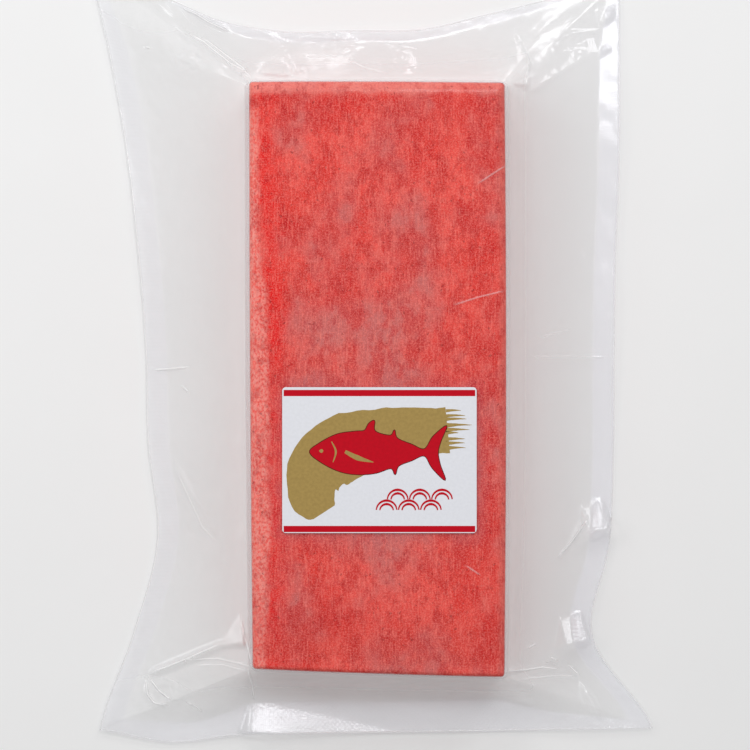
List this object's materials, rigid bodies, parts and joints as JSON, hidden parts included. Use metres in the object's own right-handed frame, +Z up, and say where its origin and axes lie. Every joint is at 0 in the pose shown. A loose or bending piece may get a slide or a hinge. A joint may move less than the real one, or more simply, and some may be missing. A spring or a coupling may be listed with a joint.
{
  "type": "raw tuna loin block in a vacuum pouch",
  "caption": "Frozen rectangular block cut from a raw tuna loin, vacuum-sealed in a clear pouch with drawn-in seams and a paper label.",
  "frame": {"origin": "middle of the block's flat underside, on the surface it rests on", "axes": "+Y along the block and the pouch, away from the label's end; +X to the right as the label faces the reader; +Z up, out of the labelled face"},
  "size_m": [0.1605, 0.2219, 0.0206],
  "materials": {
    "tuna": "frozen raw tuna flesh, satin under the film, with fine ice speckle",
    "film": "clear glossy laminate film with knurled seal bands and tension folds",
    "label_paper": "coated label paper, printed in red and gold"
  },
  "bodies": {
    "root": {"tuna_block": "tuna", "vacuum_pouch": "film", "label": "label_paper"}
  },
  "joints": []
}
